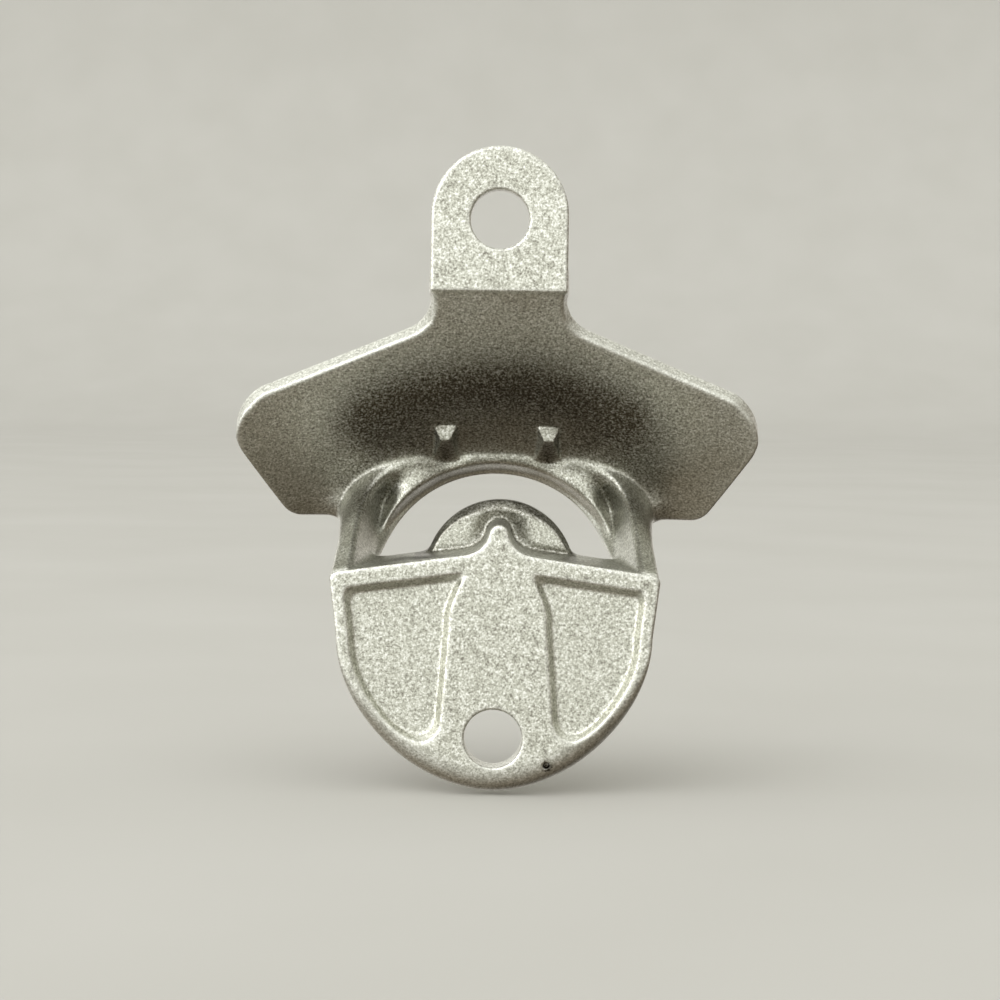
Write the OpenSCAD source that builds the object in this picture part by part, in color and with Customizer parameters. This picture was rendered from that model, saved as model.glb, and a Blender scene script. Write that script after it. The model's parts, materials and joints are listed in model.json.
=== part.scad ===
// Wall-mounted bottle opener: one iron casting, drawn as the regions it is built from.
// The wall is the plane y = 0, the casting stands out to -Y, and Z is up.
// The origin is on the axis of the upper screw hole, at the wall.

/* [Mounting] */
// Distance between the two screw holes
hole_spacing = 66; // [60:0.5:76]
// Diameter of each screw hole
screw_hole_d = 7.4; // [5:0.1:9]
// Width of the upper tab
tab_w = 17.4; // [14:0.2:20]
// Thickness of the upper tab
tab_t = 3; // [2.2:0.1:4]
// Height of the tab above the upper screw hole
tab_reach = 9.2; // [9:0.1:12]
// Drop from the upper screw hole to the bend where the hood starts
bend_drop = 9.2; // [7:0.1:12]
// Step at the bend, from the tab's wall face in to the hood
bend_step = 0.35; // [0.2:0.05:0.6]

/* [Hood] */
// Width across the wing tips
hood_w = 69; // [62:0.5:78]
// Height from the bend to the lower edge of the wings
hood_h = 29.7; // [27:0.1:33]
// Thickness of the cast sheet
hood_t = 2.6; // [2:0.1:3.6]
// Lean of the sheet away from the wall at the bend, in degrees
lean_bend = 35; // [28:1:42]
// Lean of the sheet at the top of the mouth, in degrees
lean_mouth = 51; // [44:1:58]
// Depth at a wing tip as a share of the depth on the centre line
wing_share = 0.6; // [0.45:0.01:0.8]
// Radius between the neck and the top edge of a wing
neck_r = 5.7; // [4:0.1:8]
// Fall of a wing's top edge below level, in degrees
wing_droop = 25.3; // [20:0.1:30]
// Rise of a wing's outer edge above level, in degrees
wing_rake = 57; // [50:1:66]
// Radius of a wing tip
tip_r = 4.3; // [3:0.1:6]
// Rounding of a wing's lower corner
wing_corner = 2; // [1:0.1:4]

/* [Mouth] */
// Width of the mouth
mouth_w = 31.8; // [28:0.1:33]
// Height of the ellipse that the arch is part of, from its middle to its top
mouth_rise = 15; // [13:0.1:16]
// Height of the mouth above the plate's top corners
mouth_h = 11.6; // [10.5:0.1:12.5]
// Depth of the arch's rim where it comes down to the plate
mouth_base_depth = 10; // [7:0.1:10.5]
// Height of the collar over the top of the mouth
collar_w = 2.5; // [2:0.1:4]
// Thickness of the collar at its rim
collar_t = 3; // [2.4:0.1:4.5]
// Height of the bead that the collar stands proud of the hood
collar_bead = 1; // [0.4:0.1:1.6]
// Width of the bowl round the mouth, between the feet of its walls
bowl_w = 31; // [29:0.1:33]
// Width of the bowl's wall as a share of the bowl's half width
bowl_wall = 0.2; // [0.15:0.01:0.25]

/* [Teeth] */
// Distance between the two teeth
tooth_spacing = 13.8; // [11:0.1:16]
// Width of a tooth
tooth_w = 1.9; // [1.4:0.1:2.8]
// Height of the ledge that catches the cap
tooth_ledge = 1.6; // [1:0.1:2]
// Height of a tooth from its ledge's top to its foot
tooth_h = 3.5; // [3:0.1:4.4]
// Seat gap under a tooth
tooth_seat = 0.05; // [0.02:0.01:0.2]

/* [Lip] */
// Width of the lifting lip at the plate
lip_w = 19; // [15:0.1:22]
// Height of the lip above the plate's top corners
lip_h = 8.9; // [7.5:0.1:10]
// Distance of the lip's rear face from the wall plane
lip_setback = 7; // [5:0.1:9]
// Width of the rib behind the lip, at its foot
rib_w = 6.6; // [4:0.1:9]
// Width of the rib at its point
rib_point_w = 1.8; // [1:0.1:3]
// Height of the rib above the plate's top corners
rib_h = 6.2; // [5:0.1:7]

/* [Plate] */
// Width of the plate across its top corners
plate_w = 42.2; // [39:0.1:46]
// Height of the cheeks between the wings and the plate
cheek_h = 5.9; // [4.5:0.1:8]
// Rise of the plate's top edge at its middle
plate_crown = 2.9; // [2:0.1:4]
// Radius of the plate's round end
plate_r = 20.2; // [18:0.1:21]
// Distance from the lower screw hole to the end of the plate
plate_end = 7.2; // [6.5:0.1:10]
// Thickness of the plate at its end
plate_t_low = 4; // [3.2:0.1:6]
// Height of the flat screw seat above the lower screw hole
seat_h = 6; // [5:0.1:9]
// Thickness of the plate at its top
plate_t_high = 12; // [10:0.1:14]
// Depth of the two pockets
pocket_depth = 1.4; // [1:0.1:3]
// Width of the rim round the pockets
rim_w = 2.2; // [1.6:0.1:4]
// Height of the land above the pockets
top_land = 2.9; // [2:0.1:5]
// Height of the land below the pockets, over the end of the plate
end_land = 6.6; // [5:0.1:9]
// Width of the web between the pockets at its top
web_neck_w = 8.9; // [6:0.1:11]
// Width of the web between the pockets at its foot
web_foot_w = 14.3; // [12:0.1:18]
// Drop from the middle of the plate's top edge to the web's shoulder
web_drop = 16; // [12:0.1:20]

/* [Hidden] */
$fn = 96;
iron = "#b4b3a6";
shade_iron = "#77746a";
cut = 1;
ring_rows = 20;

bend_z = -bend_drop;
half_hood = hood_w / 2;
half_tab = tab_w / 2;
half_body = plate_w / 2;
half_mouth = mouth_w / 2;
wing_low_z = bend_z - hood_h;
corner_z = wing_low_z - cheek_h;
mouth_top_z = corner_z + mouth_h;
mouth_drop = bend_z - mouth_top_z;
mouth_mid_z = mouth_top_z - mouth_rise;
crest_rise = mouth_top_z + collar_w - wing_low_z;
crown_z = corner_z + plate_crown;
end_mid_z = plate_r - plate_end - hole_spacing;
end_z = end_mid_z - plate_r;
lip_top_z = corner_z + lip_h;
lip_rise = lip_top_z - plate_top(lip_w / 2);
lip_r = (pow(lip_w / 2, 2) + pow(lip_rise, 2)) / (2 * lip_rise);

// Where the neck's fillet runs into the top edge of a wing
flare_x = half_tab + neck_r * (1 - sin(wing_droop));
flare_z = bend_z - neck_r * cos(wing_droop);
// Centre of a wing tip's arc, and where that arc meets the outer edge
tip_x = half_hood - tip_r;
tip_z = wing_line(tip_x) - tip_r / cos(wing_droop);
rake_x = tip_x + tip_r * sin(wing_rake);
rake_z = tip_z - tip_r * cos(wing_rake);
// A wing's last column stands just short of its tip, where its arc still has some height
wing_end_x = tip_x + tip_r * 0.98;
// Powers of the curves: how late the wings lose depth, how square the crest and the bowl are, and how late
// the rim falls to the plate
share_power = 1.5;
crest_power = 2.4;
bowl_power = 2.6;
fall_power = 3;

// Depth of the sheet's wall side follows bend_slope * t + curl * t^2, t being the drop from the bend
bend_slope = tan(lean_bend);
curl = (tan(lean_mouth) - bend_slope) / (2 * mouth_drop);

function mix(a, b, u) = a + (b - a) * u;
function soft_max(a, b, r) = (a + b + sqrt(pow(a - b, 2) + r * r)) / 2;
function clamp(u) = max(0, min(1, u));
function smooth(u) = clamp(u) * clamp(u) * (3 - 2 * clamp(u));
function between(low, high, z) = (z - low) / (high - low);
function arc_rise(r, x) = sqrt(max(0, r * r - x * x));
function wing_line(x) = flare_z - tan(wing_droop) * (x - flare_x);
function share(x) = 1 - (1 - wing_share) * pow(abs(x) / half_hood, share_power);
function drop_at(z) = max(0, bend_z - z);
function sheet_back(x, z) = bend_step + share(x) * (bend_slope + curl * drop_at(z)) * drop_at(z);
function sheet_slope(x, z) = share(x) * (bend_slope + 2 * curl * drop_at(z));
function sheet_front(x, z) = sheet_back(x, z) + hood_t * sqrt(1 + pow(sheet_slope(x, z), 2));

// Outline of the hood and of what lies under it, seen square on to the wall
function side_top(x) =
    x <= half_tab ? bend_z
    : x < flare_x ? bend_z - arc_rise(neck_r, x - half_tab - neck_r)
    : x < tip_x + tip_r * sin(wing_droop) ? wing_line(x)
    : tip_z + arc_rise(tip_r, x - tip_x);
function hood_top(x) = side_top(abs(x));
function rake_line(x) = rake_z + tan(wing_rake) * (x - rake_x);
function side_low(x) =
    x > rake_x ? tip_z - arc_rise(tip_r, x - tip_x)
    : soft_max(wing_low_z, rake_line(x), wing_corner);
function wing_low(x) = side_low(abs(x));
function crest(x) = wing_low_z + crest_rise * sqrt(max(0, 1 - pow(abs(x) / half_body, crest_power)));
function plate_top(x) = corner_z + plate_crown * (1 - abs(x) / half_body);
function arch(x) = max(plate_top(x), mouth_mid_z + mouth_rise * sqrt(max(0, 1 - pow(x / half_mouth, 2))));

// Depths of the ring round the mouth: a shoulder climbs from the plate to the crest against the hood,
// and inside it the wall of a bowl goes down to the rim of the mouth
rim_top_depth = sheet_back(0, mouth_top_z);
function crest_depth(x) = sheet_back(x, crest(x)) - collar_bead;
function climb(x, z) = clamp(between(plate_top(x), crest(x), z));
function fall(z) = pow(clamp((mouth_top_z - z) / mouth_h), fall_power);
function bowl(x, z) =
    pow(pow(2 * abs(x) / bowl_w, bowl_power) + pow(max(0, z - corner_z) / mouth_h, bowl_power),
        1 / bowl_power);
function shoulder(x, z) = smooth((bowl(x, z) - 1) / bowl_wall);
function rim_back(z) = mix(rim_top_depth, mouth_base_depth, fall(z));
function rim_front(z) = mix(rim_top_depth + collar_t, plate_t_high, fall(z));
function ring_back(x, z) = mix(rim_back(z), crest_depth(x) * climb(x, z), shoulder(x, z));
function ring_front(x, z) =
    mix(rim_front(z), mix(plate_t_high, sheet_front(x, crest(x)), climb(x, z)), shoulder(x, z));

// Depths of a tooth: a ledge parallel to the wall, then a slope down to its foot
tooth_x = tooth_spacing / 2;
tooth_foot_z = crest(tooth_x - tooth_w / 2) + tooth_seat;
tooth_top_z = tooth_foot_z + tooth_h;
ledge_low_z = tooth_top_z - tooth_ledge;
ledge_depth = sheet_back(tooth_x, tooth_top_z) - 2 * tooth_seat;
foot_depth = sheet_back(tooth_x, tooth_foot_z) - collar_bead;
function tooth_front(x, z) = sheet_back(x, z) - tooth_seat;
function tooth_back(x, z) =
    min(tooth_front(x, z) - tooth_seat,
        z >= ledge_low_z ? ledge_depth
        : mix(foot_depth, ledge_depth, between(tooth_foot_z, ledge_low_z, z)));

function spread(a, b, n) = [for (i = [0 : n]) mix(a, b, i / n)];
function ease_out(a, b, n) = [for (i = [0 : n]) mix(a, b, sin(90 * i / n))];
function quad(a, b, c, d) = [[a, b, c], [a, c, d]];

// A closed solid over a patch of the wall plane, between a wall-side depth and a room-side depth
module patch(xs, low, high, back, front, rows) {
    n = len(xs) - 1;
    layer = (n + 1) * (rows + 1);
    grid = [for (i = [0 : n]) for (j = [0 : rows]) [xs[i], mix(low(xs[i]), high(xs[i]), j / rows)]];
    back_points = [for (p = grid) [p.x, -back(p.x, p.y), p.y]];
    front_points = [for (p = grid) [p.x, -front(p.x, p.y), p.y]];
    b = function(i, j) i * (rows + 1) + j;
    f = function(i, j) layer + b(i, j);
    faces = [
        for (i = [0 : n - 1]) for (j = [0 : rows - 1]) each
            quad(b(i, j), b(i + 1, j), b(i + 1, j + 1), b(i, j + 1)),
        for (i = [0 : n - 1]) for (j = [0 : rows - 1]) each
            quad(f(i, j), f(i, j + 1), f(i + 1, j + 1), f(i + 1, j)),
        for (i = [0 : n - 1]) each quad(b(i + 1, 0), b(i, 0), f(i, 0), f(i + 1, 0)),
        for (i = [0 : n - 1]) each quad(b(i, rows), b(i + 1, rows), f(i + 1, rows), f(i, rows)),
        for (j = [0 : rows - 1]) each quad(b(0, j), b(0, j + 1), f(0, j + 1), f(0, j)),
        for (j = [0 : rows - 1]) each quad(b(n, j + 1), b(n, j), f(n, j), f(n, j + 1))
    ];
    polyhedron(points = concat(back_points, front_points), faces = faces, convexity = 6);
}

// A flat outline, drawn in x and z, pushed out from the wall between two depths
module slab(from_depth, to_depth) {
    translate([0, -from_depth, 0])
        rotate([90, 0, 0])
            linear_extrude(to_depth - from_depth)
                children();
}

module screw_bore(z, thickness) {
    translate([0, cut, z])
        rotate([90, 0, 0])
            cylinder(h = thickness + 2 * cut, d = screw_hole_d);
}

module mounting_tab() {
    color(iron)
        difference() {
            slab(0, tab_t) {
                translate([0, tab_reach - half_tab])
                    circle(half_tab);
                translate([-half_tab, bend_z])
                    square([tab_w, bend_drop + tab_reach - half_tab]);
            }
            screw_bore(0, tab_t);
        }
}

// Columns stand where the outline turns: at the neck, along its fillet, and out to the wings
module hood_crown() {
    fillet = [for (a = [15 : 15 : 60]) half_tab + neck_r * (1 - cos(a))];
    right = concat(spread(0, half_tab, 8), fillet, spread(flare_x, half_body, 5));
    left = [for (i = [len(right) - 1 : -1 : 1]) -right[i]];
    color(shade_iron)
        patch(concat(left, right), function(x) crest(x), function(x) hood_top(x),
            function(x, z) sheet_back(x, z), function(x, z) sheet_front(x, z), 10);
}

module wing() {
    patch(ease_out(half_body, wing_end_x, 12), function(x) wing_low(x), function(x) hood_top(x),
        function(x, z) sheet_back(x, z), function(x, z) sheet_front(x, z), 10);
}

module left_wing() {
    color(shade_iron)
        mirror([1, 0, 0])
            wing();
}

module right_wing() {
    color(shade_iron)
        wing();
}

// The collar and the cheeks share their rows, so that they meet face to face
module mouth_collar() {
    color(shade_iron)
        patch([for (a = [-90 : 5 : 90]) half_mouth * sin(a)], function(x) arch(x), function(x) crest(x),
            function(x, z) ring_back(x, z), function(x, z) ring_front(x, z), ring_rows);
}

module cheek() {
    patch(ease_out(half_mouth, half_body, 16), function(x) plate_top(x), function(x) crest(x),
        function(x, z) ring_back(x, z), function(x, z) ring_front(x, z), ring_rows);
}

module left_cheek() {
    color(shade_iron)
        mirror([1, 0, 0])
            cheek();
}

module right_cheek() {
    color(shade_iron)
        cheek();
}

module tooth() {
    patch(spread(tooth_x - tooth_w / 2, tooth_x + tooth_w / 2, 2), function(x) tooth_foot_z,
        function(x) tooth_top_z, function(x, z) tooth_back(x, z), function(x, z) tooth_front(x, z), 8);
}

module left_tooth() {
    color(iron)
        mirror([1, 0, 0])
            tooth();
}

module right_tooth() {
    color(iron)
        tooth();
}

// The half plane above the plate's top edge, as wide as asked
module above_plate(half_w, top_z) {
    polygon([[-half_w, plate_top(half_w)], [0, crown_z], [half_w, plate_top(half_w)],
        [half_w, top_z], [-half_w, top_z]]);
}

module lifting_lip() {
    color(iron)
        slab(lip_setback, plate_t_high)
            intersection() {
                translate([0, lip_top_z - lip_r])
                    circle(lip_r);
                above_plate(lip_w / 2, lip_top_z + cut);
            }
}

module lip_rib() {
    color(iron)
        slab(0, lip_setback)
            polygon([[-rib_w / 2, plate_top(rib_w / 2)], [0, crown_z], [rib_w / 2, plate_top(rib_w / 2)],
                [rib_point_w / 2, corner_z + rib_h], [-rib_point_w / 2, corner_z + rib_h]]);
}

// The plate's shield outline, drawn in by an inset all round below its top edge
module shield(inset) {
    side = plate_r - inset;
    difference() {
        polygon([[-half_body + inset, corner_z], [0, crown_z], [half_body - inset, corner_z],
            [side, end_mid_z], [side, end_z], [-side, end_z], [-side, end_mid_z]]);
        difference() {
            translate([-plate_r - cut, end_z - cut])
                square([2 * (plate_r + cut), plate_r + cut]);
            translate([0, end_mid_z])
                circle(side);
        }
    }
}

// The wedge that the plate is cut from, seen from its side
module plate_wedge() {
    rotate([90, 0, 90])
        translate([0, 0, -half_body])
            linear_extrude(plate_w)
                polygon([[0, end_z], [0, crown_z], [-plate_t_high, crown_z], [-plate_t_high, corner_z],
                    [-plate_t_low, seat_h - hole_spacing], [-plate_t_low, end_z]]);
}

// Two pockets: the shield inside its rim, less the lands above and below and the web between
module pocket_outline() {
    difference() {
        intersection() {
            shield(rim_w);
            polygon([[-half_body, corner_z - top_land], [0, crown_z - top_land],
                [half_body, corner_z - top_land], [half_body, end_z + end_land],
                [-half_body, end_z + end_land]]);
        }
        polygon([[-web_neck_w / 2, crown_z], [web_neck_w / 2, crown_z],
            [web_foot_w / 2, crown_z - web_drop], [web_foot_w / 2, end_z],
            [-web_foot_w / 2, end_z], [-web_foot_w / 2, crown_z - web_drop]]);
    }
}

module base_plate() {
    color(iron)
        difference() {
            intersection() {
                slab(0, plate_t_high)
                    shield(0);
                plate_wedge();
            }
            slab(-cut, pocket_depth)
                pocket_outline();
            screw_bore(-hole_spacing, plate_t_high);
        }
}

mounting_tab();
hood_crown();
left_wing();
right_wing();
mouth_collar();
left_cheek();
right_cheek();
left_tooth();
right_tooth();
lifting_lip();
lip_rib();
base_plate();
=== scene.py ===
"""Dresses the wall-mounted bottle opener: one plated iron casting, cut at its own features into named pieces.

Shapes are drawn in millimetres as a pattern-maker draws them: x across the wall, z up it, and a depth that
grows from the wall towards the room. Meshes are in metres, with the depth running along -Y.
"""

import json
import logging
import math
from collections.abc import Callable
from dataclasses import dataclass, field
from enum import Enum

import bmesh
import bpy
import numpy as np
from mathutils import Matrix, Vector

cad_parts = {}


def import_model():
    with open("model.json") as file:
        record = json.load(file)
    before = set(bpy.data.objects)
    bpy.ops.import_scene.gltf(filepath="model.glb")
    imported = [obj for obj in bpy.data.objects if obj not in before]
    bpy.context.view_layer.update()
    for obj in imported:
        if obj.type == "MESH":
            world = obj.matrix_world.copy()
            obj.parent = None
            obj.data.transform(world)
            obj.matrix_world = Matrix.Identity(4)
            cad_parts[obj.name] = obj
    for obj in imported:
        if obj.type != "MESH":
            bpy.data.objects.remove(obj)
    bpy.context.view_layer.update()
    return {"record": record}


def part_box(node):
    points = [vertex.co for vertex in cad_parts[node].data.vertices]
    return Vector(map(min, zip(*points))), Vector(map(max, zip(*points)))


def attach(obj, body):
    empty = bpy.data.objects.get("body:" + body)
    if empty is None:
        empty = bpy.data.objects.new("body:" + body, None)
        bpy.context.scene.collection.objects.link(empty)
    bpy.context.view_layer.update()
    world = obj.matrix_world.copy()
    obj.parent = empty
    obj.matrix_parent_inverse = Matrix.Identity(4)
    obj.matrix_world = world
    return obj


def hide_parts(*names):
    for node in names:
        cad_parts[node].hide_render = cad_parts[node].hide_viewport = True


LOG = logging.getLogger("bottle_opener")
MM = 0.001
TO_METRES = np.array([MM, -MM, MM])
IMAGE_SIDE = 1000
NOTES = ("worn", "sheltered", "even")

Array = np.ndarray
Pair = tuple[float, float]
Outline = list[Pair]
Triple = tuple[float, float, float]
Tree = bpy.types.NodeTree


class Region(Enum):
    """The pieces that the casting is cut into, each with the CAD nodes that it stands for."""

    TAB = ("tab_casting", ("mounting_tab",))
    HOOD = ("hood_casting", ("hood_crown", "mouth_collar", "left_cheek", "right_cheek", "left_tooth",
                             "right_tooth"))
    LEFT_WING = ("left_wing_casting", ("left_wing",))
    RIGHT_WING = ("right_wing_casting", ("right_wing",))
    LIP = ("lip_casting", ("lifting_lip", "lip_rib"))
    PLATE = ("plate_casting", ("base_plate",))

    @property
    def title(self) -> str:
        """Name of the piece."""
        return self.value[0]

    @property
    def nodes(self) -> tuple[str, ...]:
        """CAD nodes that the piece stands for."""
        return self.value[1]


def mix(a: Array, b: Array, share: Array) -> Array:
    """Goes from a to b as the share goes from 0 to 1."""
    return a + (b - a) * share


def ease(low: float, high: float, value: Array) -> Array:
    """Rises smoothly from 0 at low to 1 at high."""
    t = np.clip((value - low) / (high - low), 0.0, 1.0)
    return t * t * (3.0 - 2.0 * t)


def soft_min(a: Array, b: Array, reach: Array) -> Array:
    """Joins two solids with a fillet as wide as the reach."""
    share = np.clip(0.5 + 0.5 * (b - a) / reach, 0.0, 1.0)
    return mix(b, a, share) - reach * share * (1.0 - share)


def soft_max(a: Array, b: Array, reach: Array) -> Array:
    """Keeps what two solids share, with its edge rounded as wide as the reach."""
    return -soft_min(-a, -b, reach)


def scaled(span_mm: Pair) -> Pair:
    """Turns a span in millimetres into metres."""
    return (span_mm[0] * MM, span_mm[1] * MM)


def hump(distance: Array, width: float) -> Array:
    """A rounded hump, 1 on the line and gone a few widths away."""
    return np.exp(-(distance / width) ** 2)


def softened(values: Array, passes: int) -> Array:
    """Evens out a drawing of one half, as a casting's fillets do.

    Args:
        values: The drawing.
        passes: How often each value is averaged with its neighbours.

    Returns:
        The softer drawing.
    """
    for _ in range(passes):
        wide = np.pad(values, ((1, 1), (0, 0)), mode="reflect")
        values = 0.25 * wide[:-2] + 0.5 * wide[1:-1] + 0.25 * wide[2:]
        tall = np.pad(values, ((0, 0), (1, 1)), mode="reflect")
        values = 0.25 * tall[:, :-2] + 0.5 * tall[:, 1:-1] + 0.25 * tall[:, 2:]
    return values


def arc(centre: Pair, radius: float, start: float, end: float, count: int) -> Outline:
    """Points on an arc.

    Args:
        centre: Middle of the arc.
        radius: Radius.
        start: First angle in degrees, from +X towards +Z.
        end: Last angle.
        count: Number of steps.

    Returns:
        The points, both ends included.
    """
    angles = [math.radians(start + (end - start) * i / count) for i in range(count + 1)]
    return [(centre[0] + radius * math.cos(a), centre[1] + radius * math.sin(a)) for a in angles]


def mirrored(half: Outline) -> Outline:
    """Closes a half outline, drawn at x of 0 or more from top to bottom, with its mirror image."""
    return half + [(-x, z) for x, z in reversed(half) if x > 1e-6]


def outline_distance(x: Array, z: Array, corners: Outline) -> Array:
    """Signed distance to a closed outline.

    Args:
        x: Places across.
        z: Places up, of the same shape.
        corners: The outline's corners in order.

    Returns:
        Distances, negative inside.
    """
    nearest = np.full(x.shape, np.inf)
    sign = np.ones(x.shape)
    for (ax, az), (bx, bz) in zip(corners, corners[1:] + corners[:1]):
        ex, ez = bx - ax, bz - az
        long = ex * ex + ez * ez
        if long < 1e-12:
            continue
        wx, wz = x - ax, z - az
        along = np.clip((wx * ex + wz * ez) / long, 0.0, 1.0)
        nearest = np.minimum(nearest, (wx - ex * along) ** 2 + (wz - ez * along) ** 2)
        above_a, below_b, left = z >= az, z < bz, ex * wz > ez * wx
        crossed = (above_a & below_b & left) | (~above_a & ~below_b & ~left)
        sign = np.where(crossed, -sign, sign)
    return sign * np.sqrt(nearest)


def drawn_in(corners: Outline, by_upward: float, by_downward: float) -> Outline:
    """Moves a closed outline inwards, by one amount where it faces up and by another where it faces down.

    Args:
        corners: A clockwise outline.
        by_upward: Inset of edges that face up.
        by_downward: Inset of edges that face down.

    Returns:
        The moved outline.
    """
    points = np.array(corners)
    ahead = np.roll(points, -1, axis=0) - points
    behind = points - np.roll(points, 1, axis=0)
    run = ahead / np.linalg.norm(ahead, axis=1)[:, None] + behind / np.linalg.norm(behind, axis=1)[:, None]
    run /= np.linalg.norm(run, axis=1)[:, None]
    outward = np.stack([-run[:, 1], run[:, 0]], axis=1)
    up = np.clip((outward[:, 1] + 0.15) / 0.75, 0.0, 1.0)
    down = np.clip((0.1 - outward[:, 1]) / 0.7, 0.0, 1.0)
    points -= outward * (by_upward * up + by_downward * down)[:, None]
    return [(float(x), float(z)) for x, z in points]


class Plan:
    """The casting seen square on to the wall: a fine grid on which outlines and depths are drawn.

    Only the half at x of 0 or more is drawn: each feature is the same on both sides of its own middle.
    """

    def __init__(self, half_width: float, low: float, high: float, step: float) -> None:
        """Lays out the grid.

        Args:
            half_width: Furthest x.
            low: Lowest z.
            high: Highest z.
            step: Spacing of the grid.
        """
        self.step = step
        self.low = low
        across = np.arange(0.0, half_width + step, step)
        upward = np.arange(low, high + step, step)
        self.x, self.z = np.meshgrid(across, upward, indexing="ij")

    def outline(self, corners: Outline) -> Array:
        """Signed distance to an outline, all over the plan."""
        return outline_distance(self.x, self.z, corners)

    def flatness(self, depth: Array) -> Array:
        """Cosine of a drawn surface's lean, which turns a depth into a distance."""
        along_x, along_z = np.gradient(depth, self.step)
        return 1.0 / np.sqrt(1.0 + along_x ** 2 + along_z ** 2)

    def read(self, drawn: Array, x: Array, z: Array) -> Array:
        """Reads a drawing between its grid points.

        Args:
            drawn: Values on the plan's grid.
            x: Places across.
            z: Places up.

        Returns:
            The values there.
        """
        column = np.clip(np.abs(x) / self.step, 0.0, drawn.shape[0] - 1.001)
        row = np.clip((z - self.low) / self.step, 0.0, drawn.shape[1] - 1.001)
        i, j = column.astype(np.int32), row.astype(np.int32)
        near = mix(drawn[i, j], drawn[i, j + 1], row - j)
        far = mix(drawn[i + 1, j], drawn[i + 1, j + 1], row - j)
        return mix(near, far, column - i)


def to_draw() -> Array:
    """Makes a field for a drawing on the plan, which draw() fills in."""
    return field(init=False, repr=False)


@dataclass
class Probe:
    """Points at which a solid is felt for."""

    plan: Plan
    x: Array
    depth: Array
    z: Array

    def read(self, drawn: Array, aside: float = 0.0) -> Array:
        """Reads a drawing at the points, moved aside by a distance."""
        return self.plan.read(drawn, self.x - aside, self.z)


@dataclass
class NodeBox:
    """A CAD node's box in millimetres, with depth in place of -Y."""

    half_width: float
    low: float
    high: float
    near: float
    far: float

    @classmethod
    def of(cls, node: str) -> "NodeBox":
        """Reads the box of a node from the frame.

        Args:
            node: The node's name.

        Returns:
            The box.
        """
        low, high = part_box(node)
        half = max(abs(low[0]), abs(high[0]))
        return cls(half / MM, low[2] / MM, high[2] / MM, -high[1] / MM, -low[1] / MM)


@dataclass
class ScrewBore:
    """A plain screw hole, square to the wall."""

    z: float
    radius: float

    @classmethod
    def of(cls, record: dict, name: str) -> "ScrewBore":
        """Reads a bore from the record's mounts."""
        mount = next(m for m in record["mounts"] if m["name"] == name)
        return cls(mount["pos_m"][2] / MM, mount["dims"]["r_mm"])

    def feel(self, at: Probe) -> Array:
        """Distance into the bore, positive inside it."""
        return self.radius - np.sqrt(at.x ** 2 + (at.z - self.z) ** 2)


@dataclass
class MountingTab:
    """The flat tab over the hood, with a round top."""

    size: NodeBox
    edge: float = 0.45
    outline_map: Array = to_draw()

    def half_outline(self) -> Outline:
        """Right half of the tab's outline, from its top down to the bend.

        Returns:
            Its points.
        """
        half = self.size.half_width
        top = arc((0.0, self.size.high - half), half, 90.0, 0.0, 24)
        return top + [(half, self.size.low)]

    def draw(self, plan: Plan) -> None:
        """Draws the tab on the plan."""
        self.outline_map = plan.outline(mirrored(self.half_outline()))

    def feel(self, at: Probe) -> Array:
        """Distance to the tab's surface, negative inside."""
        faces = np.maximum(self.size.near - at.depth, at.depth - self.size.far)
        return soft_max(at.read(self.outline_map), faces, self.edge)


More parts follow.
